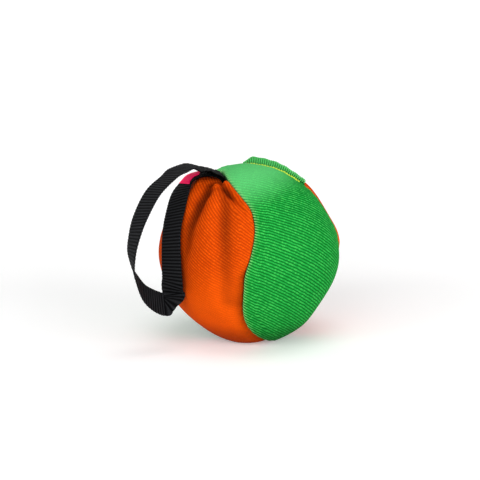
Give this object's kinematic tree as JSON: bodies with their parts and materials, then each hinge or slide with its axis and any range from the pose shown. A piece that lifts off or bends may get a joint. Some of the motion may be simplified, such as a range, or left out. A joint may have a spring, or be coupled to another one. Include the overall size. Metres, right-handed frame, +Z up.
{
  "type": "soft fabric ball",
  "caption": "Stuffed ribbed-fabric throw ball of orange and green gores, with a swinging black webbing loop handle sewn into its top seam.",
  "frame": {"origin": "centre of the flat patch the ball rests on, straight below the ball's middle", "axes": "+Z up, -Y is the pictured front, +X to the picture's right"},
  "size_m": [0.1184, 0.1015, 0.0992],
  "materials": {
    "orange_cloth": "matt ribbed woven cloth",
    "green_cloth": "matt ribbed woven cloth",
    "fibre": "loose fibre filling",
    "webbing": "ribbed nylon-type webbing, slight sheen",
    "label": "satin woven label, bare",
    "overlock_thread": "overlock sewing thread",
    "needle_thread": "bright sewing thread"
  },
  "bodies": {
    "ball": {"stuffing_core": "fibre", "orange_panel_front": "orange_cloth", "green_panel_front": "green_cloth", "orange_panel_back": "orange_cloth", "green_panel_back": "green_cloth", "strap_tails": "webbing", "front_seam_thread": "needle_thread", "right_seam_thread": "needle_thread", "back_seam_thread": "needle_thread", "left_seam_thread": "needle_thread", "closing_overlock_thread": "overlock_thread", "closing_needle_thread": "needle_thread"},
    "handle": {"strap_loop": "webbing", "label_tab": "label"}
  },
  "joints": [
    {"name": "handle_swing", "type": "hinge", "parent": "ball", "child": "handle", "pos_m": [-0.01469, -0.00495, 0.09443], "axis": [-0.1191, 0.9911, -0.0587], "range_deg": [0, 130]}
  ]
}
